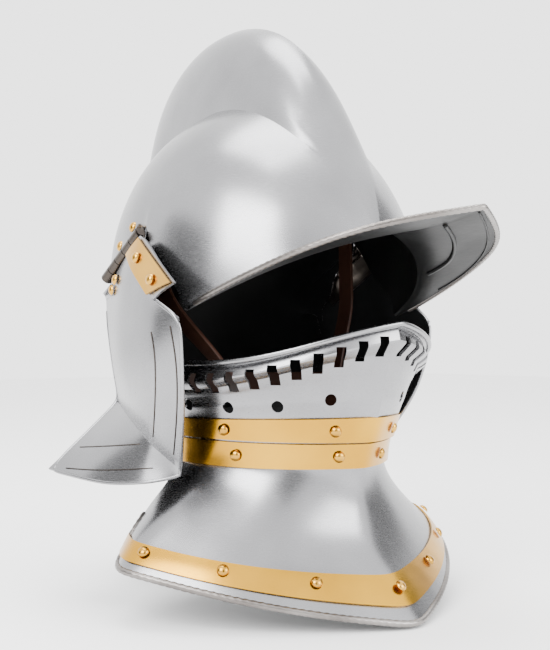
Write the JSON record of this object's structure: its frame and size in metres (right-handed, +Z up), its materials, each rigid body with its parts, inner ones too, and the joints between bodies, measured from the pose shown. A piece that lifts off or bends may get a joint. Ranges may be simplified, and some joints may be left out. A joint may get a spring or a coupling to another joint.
{
  "type": "burgonet helmet",
  "caption": "Steel burgonet with a tall comb, a pointed peak, hinged cheek pieces with flared skirts, and a pierced chin guard with a flared, brass-bordered neck guard.",
  "frame": {"origin": "the middle of the skull's hollow, where the head seats the helmet (mount head_seat)", "axes": "+Z up as worn, the wearer faces -Y, the wearer's right side is -X"},
  "size_m": [0.2792, 0.3465, 0.4106],
  "materials": {
    "plate_steel": "satin-polished sheet steel, the inside painted black",
    "hinge_steel": "rolled sheet steel, darkened by handling",
    "sheet_brass": "brushed sheet brass",
    "rivet_brass": "polished domed heads",
    "strap_leather": "plain dark brown leather"
  },
  "bodies": {
    "skull": {"skull": "plate_steel", "hinge_upper_leaf_right": "hinge_steel", "hinge_pin_right": "hinge_steel", "hinge_upper_leaf_left": "hinge_steel", "hinge_pin_left": "hinge_steel", "buffe_upper_lame": "plate_steel", "brass_band_upper": "sheet_brass", "buffe_middle_lame": "plate_steel", "brass_band_lower": "sheet_brass", "gorget_plate": "plate_steel", "gorget_border": "sheet_brass", "chin_strap": "strap_leather", "nape_strap": "strap_leather", "rivet_hinge_upper_right_1": "rivet_brass", "rivet_hinge_upper_right_2": "rivet_brass", "rivet_chin_strap_right": "rivet_brass", "rivet_nape_strap_right": "rivet_brass", "rivet_hinge_upper_left_1": "rivet_brass", "rivet_hinge_upper_left_2": "rivet_brass", "rivet_chin_strap_left": "rivet_brass", "rivet_nape_strap_left": "rivet_brass", "rivet_band_upper_1": "rivet_brass", "rivet_band_upper_2": "rivet_brass", "rivet_band_upper_3": "rivet_brass", "rivet_band_upper_4": "rivet_brass", "rivet_band_lower_1": "rivet_brass", "rivet_band_lower_2": "rivet_brass", "rivet_band_lower_3": "rivet_brass", "rivet_band_lower_4": "rivet_brass", "rivet_border_1": "rivet_brass", "rivet_border_2": "rivet_brass", "rivet_border_3": "rivet_brass", "rivet_border_4": "rivet_brass", "rivet_border_5": "rivet_brass", "rivet_border_6": "rivet_brass", "rivet_border_7": "rivet_brass"},
    "cheek_right": {"cheek_piece_right": "plate_steel", "ear_plate_right": "sheet_brass", "hinge_lower_leaf_right": "hinge_steel", "rivet_hinge_lower_right_1": "rivet_brass", "rivet_hinge_lower_right_2": "rivet_brass", "rivet_ear_right_1": "rivet_brass", "rivet_ear_right_2": "rivet_brass"},
    "cheek_left": {"cheek_piece_left": "plate_steel", "ear_plate_left": "sheet_brass", "hinge_lower_leaf_left": "hinge_steel", "rivet_hinge_lower_left_1": "rivet_brass", "rivet_hinge_lower_left_2": "rivet_brass", "rivet_ear_left_1": "rivet_brass", "rivet_ear_left_2": "rivet_brass"}
  },
  "joints": [
    {"name": "cheek_right_hinge", "type": "hinge", "parent": "skull", "child": "cheek_right", "pos_m": [-0.104, 0.0225, 0.02295], "axis": [0, 0.8264, -0.5631], "range_deg": [0, 85]},
    {"name": "cheek_left_hinge", "type": "hinge", "parent": "skull", "child": "cheek_left", "pos_m": [0.104, 0.0225, 0.02295], "axis": [0, -0.8264, 0.5631], "range_deg": [0, 85]}
  ]
}
